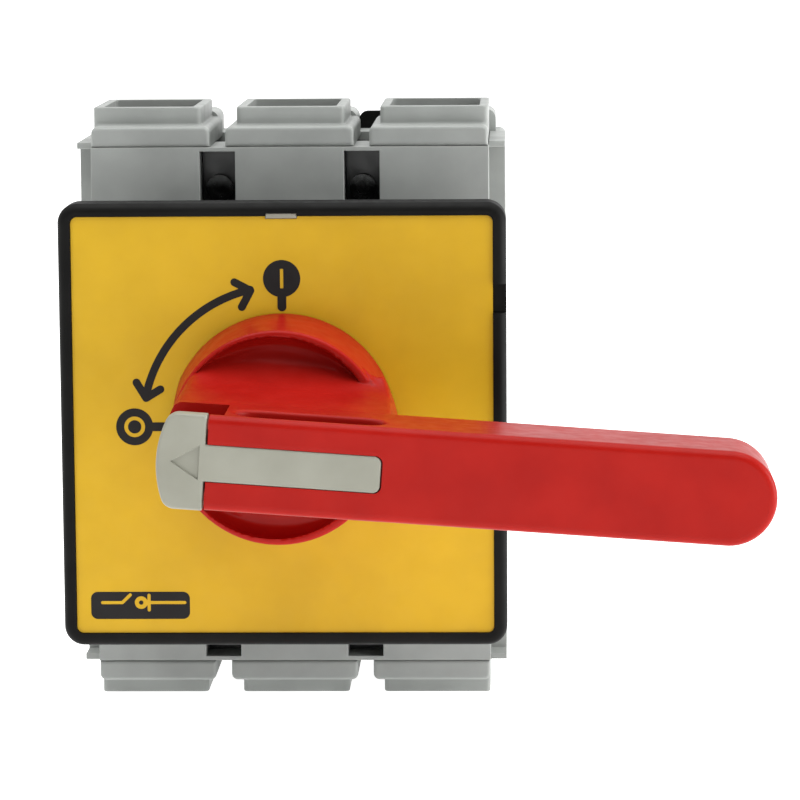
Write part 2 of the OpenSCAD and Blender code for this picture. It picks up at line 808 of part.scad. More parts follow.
module rail_clip() {
    back = -body_back;
    blade_z = [back + clip_neck_t, back + clip_neck_t + clip_t];
    color(black) mounted() difference() {
        union() {
            block([clip_x - clip_w / 2, clip_x + clip_w / 2], [clip_low, clip_top - clip_head_r],
                blade_z);
            block([clip_x - clip_w / 2 + clip_head_r, clip_x + clip_w / 2 - clip_head_r],
                [clip_low, clip_top], blade_z);
            for (s = [-1, 1])
                translate([clip_x + s * (clip_w / 2 - clip_head_r), clip_top - clip_head_r, 0])
                    rod(clip_head_r, blade_z);
            block([clip_x - clip_neck_w / 2, clip_x + clip_neck_w / 2],
                [clip_low, clip_top - 2 * clip_head_r], [back, blade_z[0] + eps]);
        }
        block([clip_x - clip_slot_w, clip_x + clip_slot_w], clip_window_y, [blade_z[0] + 0.2, 0]);
    }
}

module clip_spring() {
    wire = 0.25;
    y = [clip_window_y[0], clip_pocket_y[1]];
    z = -body_back + clip_neck_t + 0.2 + clip_spring_r;
    color(steel) mounted() translate([clip_x, y[1], z]) rotate([90, 0, 0])
        coil(clip_spring_r - wire, wire, y[1] - y[0], 5);
}

left_band = [-band_outer_out, -band_outer_in];
middle_band = [-band_middle_w / 2, band_middle_w / 2];
right_band = [band_outer_in, band_outer_out];

front_plate();
legend_plate();
legend_catch();
door_gasket();
hub_seal();
plate_screws();
handle();
padlock_slide();
handle_circlip();
drive_shaft();
drive_pinion();
drive_adaptor();
screw_inserts();
shaft_bush();
contact_carriage();
contact_springs();
contact_bridge(left_x);  // bridge_left
contact_bridge(middle_x);  // bridge_middle
contact_bridge(right_x);  // bridge_right
fixed_contact(left_x, 1);  // line_contact_left
fixed_contact(middle_x, 1);  // line_contact_middle
fixed_contact(right_x, 1);  // line_contact_right
fixed_contact(left_x, -1);  // load_contact_left
fixed_contact(middle_x, -1);  // load_contact_middle
fixed_contact(right_x, -1);  // load_contact_right
cage_clamp(left_x, 1);  // line_clamp_left
cage_clamp(middle_x, 1);  // line_clamp_middle
cage_clamp(right_x, 1);  // line_clamp_right
cage_clamp(left_x, -1);  // load_clamp_left
cage_clamp(middle_x, -1);  // load_clamp_middle
cage_clamp(right_x, -1);  // load_clamp_right
terminal_screws();
front_cover();
contact_housing();
body_screws();
rear_base();
terminal_shroud(left_x, left_band, 1);  // top_shroud_left
terminal_shroud(middle_x, middle_band, 1);  // top_shroud_middle
terminal_shroud(right_x, right_band, 1);  // top_shroud_right
terminal_shroud(left_x, left_band, -1);  // bottom_shroud_left
terminal_shroud(middle_x, middle_band, -1);  // bottom_shroud_middle
terminal_shroud(right_x, right_band, -1);  // bottom_shroud_right
rail_clip();
clip_spring();
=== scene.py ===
import json
from math import cos, pi, radians, sin

import bpy
import numpy as np
from mathutils import Matrix, Vector


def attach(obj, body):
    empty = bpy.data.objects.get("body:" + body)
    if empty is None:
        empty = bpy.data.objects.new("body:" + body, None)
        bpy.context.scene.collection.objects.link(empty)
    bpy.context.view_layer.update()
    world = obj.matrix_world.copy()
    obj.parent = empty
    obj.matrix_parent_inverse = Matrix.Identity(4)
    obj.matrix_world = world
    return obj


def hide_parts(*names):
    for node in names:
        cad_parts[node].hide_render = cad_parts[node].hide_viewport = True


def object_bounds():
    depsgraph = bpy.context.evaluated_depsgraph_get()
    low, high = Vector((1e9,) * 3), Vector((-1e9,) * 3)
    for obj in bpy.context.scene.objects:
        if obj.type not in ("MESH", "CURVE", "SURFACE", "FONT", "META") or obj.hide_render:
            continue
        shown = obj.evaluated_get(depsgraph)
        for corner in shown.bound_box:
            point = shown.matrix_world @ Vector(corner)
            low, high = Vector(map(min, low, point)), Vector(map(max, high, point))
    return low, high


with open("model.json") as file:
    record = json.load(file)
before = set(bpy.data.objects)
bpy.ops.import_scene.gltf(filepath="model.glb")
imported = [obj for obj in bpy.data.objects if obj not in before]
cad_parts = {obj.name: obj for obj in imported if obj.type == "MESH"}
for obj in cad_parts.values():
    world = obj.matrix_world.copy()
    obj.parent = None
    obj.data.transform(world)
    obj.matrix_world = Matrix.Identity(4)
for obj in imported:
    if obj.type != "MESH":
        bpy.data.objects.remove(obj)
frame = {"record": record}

CAD_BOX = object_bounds()
MM = 0.001
CRISP_EDGE = radians(50)

# ---- camera, fitted to the photograph's perspective ----

CAMERA_AT = Vector((0.0479, -0.7843, 0.1081))
CAMERA_YAW = 0.03133
CAMERA_PITCH = -0.13166
CAMERA_ROLL = 0.00733
LENS = 175.5


def add_camera():
    data = bpy.data.cameras.new("camera")
    data.lens = LENS
    data.sensor_width = 36
    data.clip_start = 0.01
    camera = bpy.data.objects.new("camera", data)
    bpy.context.scene.collection.objects.link(camera)
    turn = (
        Matrix.Rotation(CAMERA_YAW, 4, "Z")
        @ Matrix.Rotation(CAMERA_PITCH, 4, "X")
        @ Matrix.Rotation(CAMERA_ROLL, 4, "Y")
        @ Matrix.Rotation(pi / 2, 4, "X")
    )
    camera.matrix_world = Matrix.Translation(CAMERA_AT) @ turn
    bpy.context.scene.camera = camera


add_camera()

# ---- light and floor ----

# How far a direction leans up and back, and how bright the studio is there: from, to
WORLD_SPREAD = (-0.45, 0.9, 0.1, 0.95)
FLOOR_TONE = 0.8
FLOOR_GLOW = 0.95
FLOOR_HALF = 12.0


def area_light(name, at, size, power):
    """A rectangular softbox that faces the handle's axis."""
    data = bpy.data.lights.new(name, "AREA")
    data.shape = "RECTANGLE"
    data.size, data.size_y = size
    data.energy = power
    lamp = bpy.data.objects.new(name, data)
    lamp.location = at
    lamp.rotation_euler = (-Vector(at)).to_track_quat("-Z", "Y").to_euler()
    bpy.context.scene.collection.objects.link(lamp)


def add_world():
    """A white studio: bright above and behind, darker on the camera's side."""
    world = bpy.data.worlds.new("studio")
    world.use_nodes = True
    nodes, links = world.node_tree.nodes, world.node_tree.links
    way = nodes.new("ShaderNodeTexCoord").outputs["Generated"]
    split = nodes.new("ShaderNodeSeparateXYZ")
    links.new(way, split.inputs["Vector"])
    lean = nodes.new("ShaderNodeMath")
    lean.operation = "ADD"
    links.new(split.outputs["Y"], lean.inputs[0])
    links.new(split.outputs["Z"], lean.inputs[1])
    spread = nodes.new("ShaderNodeMapRange")
    spread.interpolation_type = "SMOOTHSTEP"
    for key, value in zip(("From Min", "From Max", "To Min", "To Max"), WORLD_SPREAD):
        spread.inputs[key].default_value = value
    links.new(lean.outputs["Value"], spread.inputs["Value"])
    seen = nodes.new("ShaderNodeLightPath").outputs["Is Camera Ray"]
    pick = nodes.new("ShaderNodeMix")
    links.new(seen, pick.inputs["Factor"])
    links.new(spread.outputs["Result"], pick.inputs["A"])
    pick.inputs["B"].default_value = 1.0
    back = nodes["Background"]
    back.inputs["Color"].default_value = (1, 1, 1, 1)
    links.new(pick.outputs["Result"], back.inputs["Strength"])
    bpy.context.scene.world = world


def add_floor():
    """White paper under the switch, lit a little from below like a light table."""
    low = CAD_BOX[0][2]
    mesh = bpy.data.meshes.new("floor")
    corners = [(sx * FLOOR_HALF, sy * FLOOR_HALF, low) for sx, sy in ((-1, -1), (1, -1), (1, 1), (-1, 1))]
    mesh.from_pydata(corners, [], [(0, 1, 2, 3)])
    floor = bpy.data.objects.new("floor", mesh)
    bpy.context.scene.collection.objects.link(floor)
    mat = bpy.data.materials.new("floor_paper")
    mat.use_nodes = True
    nodes, links = mat.node_tree.nodes, mat.node_tree.links
    bsdf = nodes["Principled BSDF"]
    bsdf.inputs["Base Color"].default_value = (FLOOR_TONE, FLOOR_TONE, FLOOR_TONE, 1)
    bsdf.inputs["Roughness"].default_value = 0.9
    bsdf.inputs["Specular IOR Level"].default_value = 0.2
    bsdf.inputs["Emission Color"].default_value = (1, 1, 1, 1)
    bsdf.inputs["Emission Strength"].default_value = FLOOR_GLOW
    mesh.materials.append(mat)


bpy.context.scene.view_settings.view_transform = "Standard"
add_world()
add_floor()
area_light("top_softbox", (0, -0.15, 0.8), (1.1, 0.9), 8)
area_light("right_softbox", (0.75, -0.12, 0.12), (0.5, 0.5), 5)

# ---- materials ----


class Shader:
    """A node material on the Principled shader, in the object's own coordinates."""

    def __init__(self, name):
        self.mat = bpy.data.materials.new(name)
        self.mat.use_nodes = True
        self.nodes = self.mat.node_tree.nodes
        self.links = self.mat.node_tree.links
        self.bsdf = self.nodes["Principled BSDF"]
        self.place = self.nodes.new("ShaderNodeTexCoord").outputs["Object"]

    def set(self, **values):
        for key, value in values.items():
            self.bsdf.inputs[key.replace("_", " ")].default_value = value

    def noise(self, grain, detail=3.0, stretch=(1, 1, 1)):
        """Noise whose features are about grain metres across."""
        mapping = self.nodes.new("ShaderNodeMapping")
        mapping.inputs["Scale"].default_value = stretch
        self.links.new(self.place, mapping.inputs["Vector"])
        tex = self.nodes.new("ShaderNodeTexNoise")
        tex.inputs["Scale"].default_value = 1 / grain
        tex.inputs["Detail"].default_value = detail
        self.links.new(mapping.outputs["Vector"], tex.inputs["Vector"])
        return tex.outputs["Fac"]

    def ramp(self, value, low, high, near=0.35, far=0.65):
        """Spread a noise over the range low to high."""
        spread = self.nodes.new("ShaderNodeMapRange")
        spread.inputs["From Min"].default_value = near
        spread.inputs["From Max"].default_value = far
        spread.inputs["To Min"].default_value = low
        spread.inputs["To Max"].default_value = high
        self.links.new(value, spread.inputs["Value"])
        return spread.outputs["Result"]

    def mix(self, factor, first, second):
        node = self.nodes.new("ShaderNodeMix")
        node.data_type = "RGBA"
        self.links.new(factor, node.inputs["Factor"])
        node.inputs["A"].default_value = (*first, 1)
        node.inputs["B"].default_value = (*second, 1)
        return node.outputs["Result"]

    def bump(self, heights):
        """Stack bumps: pairs of (height value, depth in metres)."""
        normal = None
        for value, depth in heights:
            node = self.nodes.new("ShaderNodeBump")
            node.inputs["Strength"].default_value = 1.0
            node.inputs["Distance"].default_value = depth
            self.links.new(value, node.inputs["Height"])
            if normal:
                self.links.new(normal, node.inputs["Normal"])
            normal = node.outputs["Normal"]
        self.links.new(normal, self.bsdf.inputs["Normal"])


def srgb(r, g, b):
    """A colour given in display values, 0 to 255, as linear light."""
    return tuple(
        c / 12.92 if c <= 0.04045 else ((c + 0.055) / 1.055) ** 2.4
        for c in (v / 255 for v in (r, g, b))
    )


def moulded(name, dark, light, rough, texture=8e-6, scatter=0.0, specular=0.3):
    """Moulded plastic: cloudy colour, uneven gloss, a fine spark-eroded texture."""
    s = Shader(name)
    cloud = s.ramp(s.noise(11 * MM, 4), 0, 1)
    s.links.new(s.mix(cloud, dark, light), s.bsdf.inputs["Base Color"])
    gloss = s.ramp(s.noise(3 * MM, 5), rough - 0.05, rough + 0.05)
    s.links.new(gloss, s.bsdf.inputs["Roughness"])
    s.set(Subsurface_Weight=scatter, Subsurface_Radius=(1, 1, 1), Subsurface_Scale=1.2 * MM)
    s.set(Specular_IOR_Level=specular)
    s.bump([(s.noise(0.35 * MM, 2), texture), (s.noise(18 * MM, 1), 60e-6)])
    return s.mat


def metal(name, dark, light, rough, stretch=(1, 1, 1)):
    """Metal with drawn or turned marks along the long side of stretch."""
    s = Shader(name)
    mark = s.ramp(s.noise(0.8 * MM, 6, stretch), 0, 1)
    s.links.new(s.mix(mark, dark, light), s.bsdf.inputs["Base Color"])
    s.set(Metallic=1.0)
    gloss = s.ramp(s.noise(2 * MM, 5, stretch), rough - 0.08, rough + 0.1)
    s.links.new(gloss, s.bsdf.inputs["Roughness"])
    s.bump([(s.noise(0.2 * MM, 4, stretch), 4e-6)])
    return s.mat


GREY = moulded("grey_plastic", srgb(146, 149, 146), srgb(155, 158, 155), 0.42, scatter=0.12)
BASE_GREY = moulded("light_grey_plastic", srgb(158, 161, 158), srgb(166, 169, 166), 0.4, scatter=0.05)
BLACK = moulded("black_plastic", srgb(12, 12, 11), srgb(17, 17, 16), 0.5, specular=0.1)
YELLOW = moulded("yellow_plastic", srgb(193, 155, 17), srgb(200, 161, 20), 0.5, texture=3e-6)
RED = moulded("red_plastic", srgb(150, 20, 14), srgb(159, 24, 17), 0.33, texture=5e-6, specular=0.11)
PALE = moulded("pale_plastic", srgb(137, 137, 125), srgb(145, 145, 133), 0.4)
INK = moulded("legend_ink", srgb(27, 26, 26), srgb(32, 31, 31), 0.5, texture=2e-6, specular=0.15)
WHITE = moulded("white_plastic", srgb(226, 222, 208), srgb(236, 232, 220), 0.35, scatter=0.2)
GREEN = moulded("green_plastic", srgb(58, 74, 56), srgb(66, 82, 62), 0.5)
HOUSING = moulded("housing_plastic", srgb(56, 58, 55), srgb(64, 66, 63), 0.22, scatter=0.9, specular=0.5)
RUBBER = moulded("black_rubber", srgb(24, 24, 25), srgb(34, 34, 35), 0.75, texture=14e-6)
STEEL = metal("plated_steel", srgb(176, 176, 172), srgb(205, 204, 198), 0.3)
DARK_STEEL = metal("black_steel", srgb(66, 67, 66), srgb(84, 85, 84), 0.2)
BRASS = metal("brass", srgb(176, 146, 74), srgb(206, 176, 96), 0.28)
COPPER = metal("copper", srgb(168, 98, 62), srgb(202, 126, 84), 0.35, (1, 1, 0.1))

LOOKS = {
    "grey_plastic": GREY,
    "light_grey_plastic": BASE_GREY,
    "black_plastic": BLACK,
    "yellow_plastic": YELLOW,
    "red_plastic": RED,
    "pale_plastic": PALE,
    "white_plastic": WHITE,
    "green_plastic": GREEN,
    "black_rubber": RUBBER,
    "plated_steel": STEEL,
    "black_steel": DARK_STEEL,
    "brass": BRASS,
    "copper": COPPER,
}


# ---- solids from distance fields ----


def round_max(a, b, r):
    """Intersection of two fields, with the edge rounded to radius r."""
    corner = np.hypot(np.maximum(a + r, 0), np.maximum(b + r, 0))
    return np.minimum(np.maximum(a, b), -r) + corner


def round_min(a, b, r):
    """Union of two fields, with the corner filleted to radius r."""
    return -round_max(-a, -b, r)


def box_field(u, v, z, low, high):
    """A box between two corners."""
    gaps = [np.maximum(lo - c, c - hi) for c, lo, hi in zip((u, v, z), low, high)]
    return np.maximum(np.maximum(gaps[0], gaps[1]), gaps[2])


# The grid starts and ends a little outside the box, by odd shares of a cell, so that no
# face of the solid lies in a plane of the grid.
GRID_LEAD = 1.37
GRID_TAIL = 1.9
# Share of a cell that a point may move in one step towards the surface
LONGEST_MOVE = 0.3
# Share of a cell over which the field's slope is measured
PROBE = 0.02
# How firmly a cell's point is held at the middle of its crossings
HOLD = 0.04


def onto_surface(field, hit, axis, start, slope, step):
    """Move points along their cell edges to where the field is zero."""
    for _ in range(2):
        move = field(*hit.T) / slope
        hit[:, axis] -= np.clip(move, -LONGEST_MOVE * step, LONGEST_MOVE * step)
        hit[:, axis] = np.clip(hit[:, axis], start[:, axis], start[:, axis] + step)
    return hit


def surface_normals(field, hit, step):
    grad = np.empty_like(hit)
    for k in range(3):
        d = np.zeros(3)
        d[k] = PROBE * step
        grad[:, k] = field(*(hit + d).T) - field(*(hit - d).T)
    return grad / np.maximum(np.linalg.norm(grad, axis=1), 1e-12)[:, None]


def cell_points(cells, points, normals):
    """The cells in use, and for each the point that lies nearest to its tangent planes."""
    used, slot_of = np.unique(cells, return_inverse=True)
    n = len(used)
    count = np.bincount(slot_of, minlength=n)

    def total(values):
        return np.bincount(slot_of, weights=values, minlength=n)

    mean = np.stack([total(points[:, k]) for k in range(3)], 1) / count[:, None]
    along = np.einsum("ij,ij->i", normals, points - mean[slot_of])
    matrix = np.empty((n, 3, 3))
    right = np.empty((n, 3))
    for i in range(3):
        right[:, i] = total(normals[:, i] * along)
        for j in range(3):
            matrix[:, i, j] = total(normals[:, i] * normals[:, j])
    matrix += HOLD * count[:, None, None] * np.eye(3)
    return used, mean + np.linalg.solve(matrix, right[:, :, None])[:, :, 0]


def solve_mesh(field, low, high, step):
    """Points and quads of the surface where the field is zero, sharp edges kept.

    Dual contouring: each grid cell that the surface crosses gets one point, where the
    surface's tangent planes at the cell's edges meet, and each crossed edge one quad.
    """
    axes = [np.arange(lo - GRID_LEAD * step, hi + GRID_TAIL * step, step) for lo, hi in zip(low, high)]
    value = field(*np.meshgrid(*axes, indexing="ij")).astype(np.float32)
    inside = value < 0
    shape = np.array(value.shape)
    strides = np.array([shape[1] * shape[2], shape[2], 1])
    origin = np.array([a[0] for a in axes])
    flat = value.ravel()
    cells, points, normals, quads = [], [], [], []
    for axis in range(3):
        near = [slice(1, -1)] * 3
        near[axis] = slice(0, -1)
        far = list(near)
        far[axis] = slice(1, None)
        start = np.argwhere(inside[tuple(near)] != inside[tuple(far)])
        for other in range(3):
            if other != axis:
                start[:, other] += 1
        index = start @ strides
        first, second = flat[index], flat[index + strides[axis]]
        corner = origin + start * step
        hit = corner.copy()
        hit[:, axis] += (first / (first - second)).astype(float) * step
        hit = onto_surface(field, hit, axis, corner, (second - first) / step, step)
        b, c = strides[(axis + 1) % 3], strides[(axis + 2) % 3]
        around = np.stack([index - b - c, index - c, index, index - b], axis=1)
        flip = first > 0
        around[flip] = around[flip][:, ::-1]
        quads.append(around)
        cells.extend(around.T)
        points.extend([hit] * 4)
        normals.extend([surface_normals(field, hit, step)] * 4)
    used, at = cell_points(*(np.concatenate(rows) for rows in (cells, points, normals)))
    lower = origin + np.stack(np.unravel_index(used, shape), 1) * step
    at = np.clip(np.clip(at, lower, lower + step), low, high)
    return at, np.searchsorted(used, np.concatenate(quads))


# ---- places, in millimetres ----


def on_switch(p):
    """From a view on the door, x right, y up and z out, into the frame."""
    return np.stack([p[:, 0], -p[:, 2], p[:, 1]], axis=1)


# The handle at rest is turned this far past level
TILT = radians(4.15)


def on_handle(p):
    """From the handle's own view, u along the lever, v across it and z out, into the frame."""
    x = cos(TILT) * p[:, 0] + sin(TILT) * p[:, 1]
    y = cos(TILT) * p[:, 1] - sin(TILT) * p[:, 0]
    return on_switch(np.stack([x, y, p[:, 2]], axis=1))


def smooth_object(name, points, faces, mat):
    """A mesh object from points in millimetres in the frame, with its sharp edges kept."""
    mesh = bpy.data.meshes.new(name)
    mesh.from_pydata(points * MM, [], faces)
    mesh.validate()
    mesh.shade_smooth()
    mesh.set_sharp_from_angle(angle=CRISP_EDGE)
    mesh.materials.append(mat)
    obj = bpy.data.objects.new(name, mesh)
    bpy.context.scene.collection.objects.link(obj)
    return obj


def solid_piece(name, field, low, high, step, place, mat):
    """A mesh object for a distance field in millimetres, turned into the frame by place."""
    at, faces = solve_mesh(field, low, high, step)
    return smooth_object(name, place(at), faces, mat)


# ---- handle ----

# Heights over the door's face
PLATE_FRONT = 8
BOWL_FLOOR = 20.5
RIM_TOP = 25.5
LEVER_BACK = 44.5
LEVER_FRONT = 64

# Cup: radius at the plate, how fast it narrows, and the bowl, which is off centre
CUP_R = 22.8
CUP_TAPER = 0.0857
RIM_ROUND = 0.7
BOWL_R = 20.1
BOWL_SHIFT = 0.6
BOWL_CORNER = 4.6
BOWL_LIP = 0.3

# Lever's root: its half width at the lever, its draft, and the flare at its foot
ROOT_HALF = 9.03
ROOT_DRAFT = 0.09
FLARE_TOP = 32
FLARE_H = FLARE_TOP - BOWL_FLOOR
FLARE_W = 7.5
ROOT_FOOT = BOWL_FLOOR - 0.5
ROOT_END_Z = (PLATE_FRONT, RIM_TOP, LEVER_FRONT)
ROOT_END_R = (21.9, 21.0, 20.6)
FIN_R = 23.95
FIN_FOOT = 23.3
FIN_START = 12

# Lever, and the bays in its back
LEVER_HALF = 9
LEVER_EDGE = 1.5
TIP_U = 86.97
BAY_START = 26.9
BAY_END = 87
BAY_PITCH = 15.43
BAY_RIB = 1.6
BAY_HALF = 6.2
BAY_FLOOR = 61.2

# Padlock slot: the centres of its round ends, its height and radius
SLOT_U = (-2.4, 17.3)
SLOT_Z = 57.1
SLOT_R = 4.4

# Padlock slide: head, tongue and blade
HEAD_R = 20.55
HEAD_HALF = 9.05
HEAD_END = -11.4
HEAD_BACK = 60.45
TONGUE_START = -13
TONGUE_END = 21.6
TONGUE_HALF = 3.48
TONGUE_BACK = 62.4
BLADE_U = (-18.6, -10)
BLADE_HALF = 3
BLADE_BACK = 53
# Sunk pointer: its base, its tip, its slope and its floor
POINTER_BASE = -12.5
POINTER_TIP = -17.9
POINTER_SLOPE = 0.6
POINTER_FLOOR = 63.55

# Their seats in the lever, which run out through its round end
OUTSIDE = -30
HEAD_SEAT_END = -11.05
HEAD_SEAT_BACK = 60.4
SEAT_END = 21.9
SEAT_HALF = 3.55
SEAT_CORNER = 1.5
SEAT_BACK = 62.35
BLADE_GAP = 0.1
BLADE_SEAT_END = -9.8
BLADE_SEAT_BACK = 52.8
# Finger notches behind the head
NOTCH_END = -8.4
NOTCH_SIDE = 6
NOTCH_BACK = 47.5

# Hub, and the hollow underside
HUB_R = 12
HUB_Z = (-3, 9)
HOLLOW_R = (13.8, 19.4)
HOLLOW_TOP = 18.6
SOCKET_HALF = 3.1
SOCKET_TOP = 14
CLIP_R = 11
CLIP_Z = -0.7
CLIP_HALF = 0.6


def cup_field(u, v, z):
    """Drafted cup with a rounded rim, hollowed into a bowl."""
    wall = (np.hypot(u, v) - CUP_R + CUP_TAPER * (z - PLATE_FRONT)) / np.hypot(1, CUP_TAPER)
    cup = round_max(wall, z - RIM_TOP, RIM_ROUND)
    bowl = round_max(np.hypot(u + BOWL_SHIFT, v) - BOWL_R, BOWL_FLOOR - z, BOWL_CORNER)
    cup = round_max(cup, -bowl, BOWL_LIP)
    return np.maximum(cup, PLATE_FRONT - 0.2 - z)


def root_field(u, v, z):
    """Lever's root: flanks that flare out into the bowl, between round ends, and a fin."""
    r = np.hypot(u, v)
    drop = np.clip((FLARE_TOP - z) / FLARE_H, 0, 0.9999)
    lift = np.sqrt(1 - drop * drop)
    half = ROOT_HALF + ROOT_DRAFT * np.maximum(LEVER_BACK - z, 0) + FLARE_W * (1 - lift)
    slope = np.minimum(ROOT_DRAFT + FLARE_W / FLARE_H * drop / lift, 8)
    flank = (np.abs(v) - half) / np.hypot(1, slope)
    left = r - np.interp(z, ROOT_END_Z, ROOT_END_R)
    fin = np.maximum(np.maximum(r - FIN_R, FIN_FOOT - z), FIN_START - u)
    ends = round_min(left, fin, 1.5)
    root = round_max(flank, ends, np.interp(u, [-10, 10], [1.2, 0.5]))
    root = round_max(root, z - LEVER_FRONT, LEVER_EDGE)
    return np.maximum(root, ROOT_FOOT - z)


def root_fillet(u, v, z):
    """Radius of the fillet between cup and root: wide in the bowl and under the fin."""
    r = np.hypot(u, v)
    near_fin = np.clip(u - FIN_START, 0, 1) * np.clip(z - 21.5, 0, 1)
    return 0.02 + near_fin * np.clip((r - 21) * 2, 0, 1.48) + np.clip(19.8 - r, 0, 2.2)


def lever_field(u, v, z):
    plan = np.where(u > TIP_U, np.hypot(u - TIP_U, v), np.abs(v)) - LEVER_HALF
    lever = round_max(plan, z - LEVER_FRONT, LEVER_EDGE)
    lever = round_max(lever, LEVER_BACK - z, 0.5)
    return np.maximum(lever, -u)


def bay_field(u, v, z):
    """A row of bays between ribs in the lever's back, and one in its round tip."""
    start = np.mod(u - BAY_START, BAY_PITCH)
    between_ribs = np.maximum(-start, start - BAY_PITCH + BAY_RIB)
    bays = np.maximum(between_ribs, np.maximum(BAY_START - u, u - BAY_END))
    bays = round_max(bays, np.abs(v) - BAY_HALF, 0.6)
    tip = np.maximum(np.hypot(u - BAY_END, v) - BAY_HALF, BAY_END + BAY_RIB - u)
    return np.maximum(np.minimum(bays, tip), z - BAY_FLOOR)


def handle_field(u, v, z):
    r = np.hypot(u, v)
    side = np.abs(v)
    body = round_min(cup_field(u, v, z), root_field(u, v, z), root_fillet(u, v, z))
    body = np.minimum(body, lever_field(u, v, z))
    body = round_max(body, -bay_field(u, v, z), 0.3)
    # Padlock slot
    reach = np.maximum(u - SLOT_U[1], 0) + np.maximum(SLOT_U[0] - u, 0)
    body = round_max(body, SLOT_R - np.hypot(reach, z - SLOT_Z), 0.7)
    # Seats of the slide's head, tongue and blade, and the finger notches behind its head
    head = box_field(u, v, z, (OUTSIDE, -12, HEAD_SEAT_BACK), (HEAD_SEAT_END, 12, 70))
    past_end = np.maximum(u - SEAT_END + SEAT_CORNER, 0)
    past_side = np.maximum(side - SEAT_HALF + SEAT_CORNER, 0)
    tongue = np.maximum(np.hypot(past_end, past_side) - SEAT_CORNER, SEAT_BACK - z)
    tongue = np.maximum(tongue, TONGUE_START - u)
    blade_half = BLADE_HALF + BLADE_GAP
    blade = box_field(u, v, z, (OUTSIDE, -blade_half, BLADE_SEAT_BACK), (BLADE_SEAT_END, blade_half, 61))
    notch = box_field(u, side, z, (OUTSIDE, NOTCH_SIDE, NOTCH_BACK), (NOTCH_END, 14, 62))
    for seat in (head, tongue, blade, notch):
        body = np.maximum(body, -seat)
    # Hub with the circlip's groove and the shaft's socket, and the hollow round it
    hub = np.maximum(r - HUB_R, np.maximum(HUB_Z[0] - z, z - HUB_Z[1]))
    body = np.minimum(body, hub)
    hollow = np.maximum(np.maximum(HOLLOW_R[0] - r, r - HOLLOW_R[1]), z - HOLLOW_TOP)
    socket = np.maximum(np.maximum(np.abs(u), side) - SOCKET_HALF, z - SOCKET_TOP)
    groove = np.maximum(CLIP_R - r, np.abs(z - CLIP_Z) - CLIP_HALF)
    for cut in (hollow, socket, groove):
        body = np.maximum(body, -cut)
    return body


def slide_field(u, v, z):
    side = np.abs(v)
    head = round_max(np.hypot(u, v) - HEAD_R, side - HEAD_HALF, 1.5)
    head = round_max(head, u - HEAD_END, 0.3)
    head = round_max(head, z - LEVER_FRONT, 0.55)
    head = np.maximum(head, HEAD_BACK - z)
    tongue = round_max(side - TONGUE_HALF, u - TONGUE_END, 1.4)
    tongue = np.maximum(tongue, TONGUE_START - u)
    tongue = round_max(tongue, z - LEVER_FRONT, 0.3)
    tongue = np.maximum(tongue, TONGUE_BACK - z)
    blade = box_field(
        u, v, z, (BLADE_U[0], -BLADE_HALF, BLADE_BACK), (BLADE_U[1], BLADE_HALF, 61.5)
    )
    edge = (side - POINTER_SLOPE * (u - POINTER_TIP)) / np.hypot(1, POINTER_SLOPE)
    pointer = round_max(np.maximum(u - POINTER_BASE, edge), POINTER_FLOOR - z, 0.1)
    body = np.minimum(np.minimum(head, tongue), blade)
    return round_max(body, -pointer, 0.12)


handle = solid_piece(
    "handle_moulding", handle_field, (-21.5, -23, -3), (96, 23, LEVER_FRONT), 0.4, on_handle, RED
)
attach(handle, "handle_body")
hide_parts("handle")

slide = solid_piece(
    "padlock_slide_moulding", slide_field, (-20.6, -9.1, 53), (21.6, 9.1, LEVER_FRONT), 0.22, on_handle, PALE
)
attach(slide, "padlock_slide_body")
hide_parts("padlock_slide")


# ---- printed marks on the legend plate, in millimetres from the handle's axis ----

ON_AT = (0, 29.8)
OFF_AT = (-30, -0.1)
MARK_R = 3.75
STEM_END = 24.1
STEM_HALF = 0.9
ARROW_R = 28.3
ARROW_HALF = 0.8
ARROW_MIDDLE = radians(135.5)
ARROW_REACH = radians(32.5)
# Each end of the arrow, with the ends of its two barbs
BARBS = (
    ((-6.3, 27.4), ((-9.5, 29.1), (-8.05, 24.1))),
    ((-27.6, 5.75), ((-29.5, 8.9), (-24.7, 7.5))),
)
SYMBOL_AT = (-29.4, -36.67)
SYMBOL_HALF = (10.05, 2.8)
SYMBOL_Y = -36.1
LINE_HALF = 0.33
INK_TOP = 7.54
INK_T = 0.12


def stroke(x, y, start, end, half):
    """Distance to a round-ended line."""
    ax, ay = start
    dx, dy = end[0] - ax, end[1] - ay
    t = np.clip(((x - ax) * dx + (y - ay) * dy) / (dx * dx + dy * dy), 0, 1)
    return np.hypot(x - ax - t * dx, y - ay - t * dy) - half


def disc(x, y, centre, radius):
    return np.hypot(x - centre[0], y - centre[1]) - radius


def ring(x, y, centre, outer, inner):
    return np.maximum(disc(x, y, centre, outer), -disc(x, y, centre, inner))


def panel(x, y, centre, half_x, half_y, r):
    """A rectangle with corners of radius r."""
    dx = np.maximum(np.abs(x - centre[0]) - half_x + r, 0)
    dy = np.maximum(np.abs(y - centre[1]) - half_y + r, 0)
    return np.hypot(dx, dy) - r


def position_marks(x, y):
    """A bar in a disc for on and a ring in a disc for off, each on a short stem."""
    on_stem = stroke(x, y, ON_AT, (ON_AT[0], STEM_END), STEM_HALF)
    on_mark = np.minimum(disc(x, y, ON_AT, MARK_R), on_stem)
    on_mark = np.maximum(on_mark, -panel(x, y, ON_AT, LINE_HALF, 1.95, 0.1))
    off_stem = stroke(x, y, OFF_AT, (-STEM_END, OFF_AT[1]), STEM_HALF)
    off_mark = np.minimum(disc(x, y, OFF_AT, MARK_R), off_stem)
    off_mark = np.maximum(off_mark, -ring(x, y, OFF_AT, 2.1, 1.35))
    return np.minimum(on_mark, off_mark)


